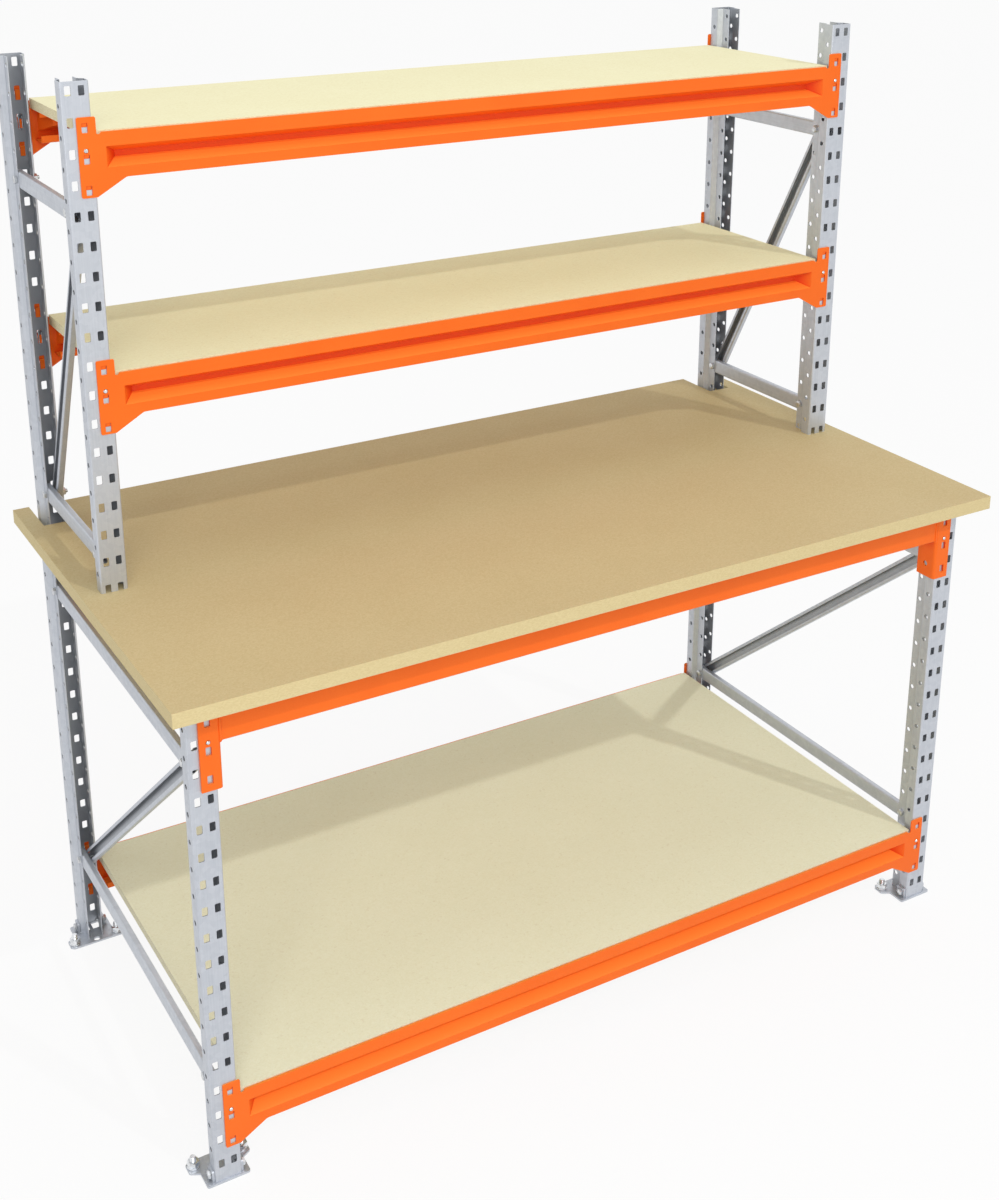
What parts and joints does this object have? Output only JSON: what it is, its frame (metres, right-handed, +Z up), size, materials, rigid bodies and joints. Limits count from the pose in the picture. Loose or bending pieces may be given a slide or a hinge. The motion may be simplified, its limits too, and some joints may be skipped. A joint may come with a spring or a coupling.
{
  "type": "workbench",
  "caption": "Workbench of perforated galvanised uprights, hooked orange beams, board worktop, low shelf and raised shelves over the back.",
  "frame": {"origin": "on the floor under the middle of the lower frame and of the worktop", "axes": "+Z up, +X to the right seen from the working side, -Y towards the person at the bench"},
  "size_m": [1.676, 0.9, 1.804],
  "materials": {
    "galvanised_steel": "satin zinc sheet",
    "orange_paint": "semi-gloss powder coat",
    "shelf_board": "pale particle board",
    "worktop_board": "plywood",
    "zinc_fastener": "zinc plated",
    "bright_zinc": "bright zinc plated"
  },
  "bodies": {
    "bench": {"beam_bottom_front": "orange_paint", "beam_bottom_rear": "orange_paint", "beam_middle_front": "orange_paint", "beam_middle_rear": "orange_paint", "beam_top_front": "orange_paint", "beam_top_rear": "orange_paint", "beam_worktop_front": "orange_paint", "beam_worktop_rear": "orange_paint", "brace_bolts": "zinc_fastener", "brace_lower_bottom_left": "galvanised_steel", "brace_lower_bottom_right": "galvanised_steel", "brace_lower_diagonal_left": "galvanised_steel", "brace_lower_diagonal_right": "galvanised_steel", "brace_lower_top_left": "galvanised_steel", "brace_lower_top_right": "galvanised_steel", "brace_nuts": "zinc_fastener", "brace_upper_bottom_left": "galvanised_steel", "brace_upper_bottom_right": "galvanised_steel", "brace_upper_diagonal_left": "galvanised_steel", "brace_upper_diagonal_right": "galvanised_steel", "brace_upper_top_left": "galvanised_steel", "brace_upper_top_right": "galvanised_steel", "floor_anchors": "bright_zinc", "foot_bolts": "zinc_fastener", "foot_front_left": "galvanised_steel", "foot_front_right": "galvanised_steel", "foot_nuts": "zinc_fastener", "foot_rear_left": "galvanised_steel", "foot_rear_right": "galvanised_steel", "shelf_bottom": "shelf_board", "shelf_middle": "shelf_board", "shelf_top": "shelf_board", "upright_front_left": "galvanised_steel", "upright_front_right": "galvanised_steel", "upright_rear_left": "galvanised_steel", "upright_rear_right": "galvanised_steel", "upright_upper_left": "galvanised_steel", "upright_upper_right": "galvanised_steel", "worktop": "worktop_board"},
    "lock_bottom_front_left_pin": {"lock_bottom_front_left": "zinc_fastener"},
    "lock_bottom_front_right_pin": {"lock_bottom_front_right": "zinc_fastener"},
    "lock_bottom_rear_left_pin": {"lock_bottom_rear_left": "zinc_fastener"},
    "lock_bottom_rear_right_pin": {"lock_bottom_rear_right": "zinc_fastener"},
    "lock_middle_front_left_pin": {"lock_middle_front_left": "zinc_fastener"},
    "lock_middle_front_right_pin": {"lock_middle_front_right": "zinc_fastener"},
    "lock_middle_rear_left_pin": {"lock_middle_rear_left": "zinc_fastener"},
    "lock_middle_rear_right_pin": {"lock_middle_rear_right": "zinc_fastener"},
    "lock_top_front_left_pin": {"lock_top_front_left": "zinc_fastener"},
    "lock_top_front_right_pin": {"lock_top_front_right": "zinc_fastener"},
    "lock_top_rear_left_pin": {"lock_top_rear_left": "zinc_fastener"},
    "lock_top_rear_right_pin": {"lock_top_rear_right": "zinc_fastener"},
    "lock_worktop_front_left_pin": {"lock_worktop_front_left": "zinc_fastener"},
    "lock_worktop_front_right_pin": {"lock_worktop_front_right": "zinc_fastener"},
    "lock_worktop_rear_left_pin": {"lock_worktop_rear_left": "zinc_fastener"},
    "lock_worktop_rear_right_pin": {"lock_worktop_rear_right": "zinc_fastener"}
  },
  "joints": [
    {"name": "lock_bottom_front_left_slide", "type": "slide", "parent": "bench", "child": "lock_bottom_front_left_pin", "axis": [0, 1, 0], "range_m": [0, 0.004]},
    {"name": "lock_bottom_front_right_slide", "type": "slide", "parent": "bench", "child": "lock_bottom_front_right_pin", "axis": [0, 1, 0], "range_m": [0, 0.004]},
    {"name": "lock_bottom_rear_left_slide", "type": "slide", "parent": "bench", "child": "lock_bottom_rear_left_pin", "axis": [0, -1, 0], "range_m": [0, 0.004]},
    {"name": "lock_bottom_rear_right_slide", "type": "slide", "parent": "bench", "child": "lock_bottom_rear_right_pin", "axis": [0, -1, 0], "range_m": [0, 0.004]},
    {"name": "lock_middle_front_left_slide", "type": "slide", "parent": "bench", "child": "lock_middle_front_left_pin", "axis": [0, 1, 0], "range_m": [0, 0.004]},
    {"name": "lock_middle_front_right_slide", "type": "slide", "parent": "bench", "child": "lock_middle_front_right_pin", "axis": [0, 1, 0], "range_m": [0, 0.004]},
    {"name": "lock_middle_rear_left_slide", "type": "slide", "parent": "bench", "child": "lock_middle_rear_left_pin", "axis": [0, -1, 0], "range_m": [0, 0.004]},
    {"name": "lock_middle_rear_right_slide", "type": "slide", "parent": "bench", "child": "lock_middle_rear_right_pin", "axis": [0, -1, 0], "range_m": [0, 0.004]},
    {"name": "lock_top_front_left_slide", "type": "slide", "parent": "bench", "child": "lock_top_front_left_pin", "axis": [0, 1, 0], "range_m": [0, 0.004]},
    {"name": "lock_top_front_right_slide", "type": "slide", "parent": "bench", "child": "lock_top_front_right_pin", "axis": [0, 1, 0], "range_m": [0, 0.004]},
    {"name": "lock_top_rear_left_slide", "type": "slide", "parent": "bench", "child": "lock_top_rear_left_pin", "axis": [0, -1, 0], "range_m": [0, 0.004]},
    {"name": "lock_top_rear_right_slide", "type": "slide", "parent": "bench", "child": "lock_top_rear_right_pin", "axis": [0, -1, 0], "range_m": [0, 0.004]},
    {"name": "lock_worktop_front_left_slide", "type": "slide", "parent": "bench", "child": "lock_worktop_front_left_pin", "axis": [0, 1, 0], "range_m": [0, 0.006]},
    {"name": "lock_worktop_front_right_slide", "type": "slide", "parent": "bench", "child": "lock_worktop_front_right_pin", "axis": [0, 1, 0], "range_m": [0, 0.006]},
    {"name": "lock_worktop_rear_left_slide", "type": "slide", "parent": "bench", "child": "lock_worktop_rear_left_pin", "axis": [0, -1, 0], "range_m": [0, 0.006]},
    {"name": "lock_worktop_rear_right_slide", "type": "slide", "parent": "bench", "child": "lock_worktop_rear_right_pin", "axis": [0, -1, 0], "range_m": [0, 0.006]}
  ]
}
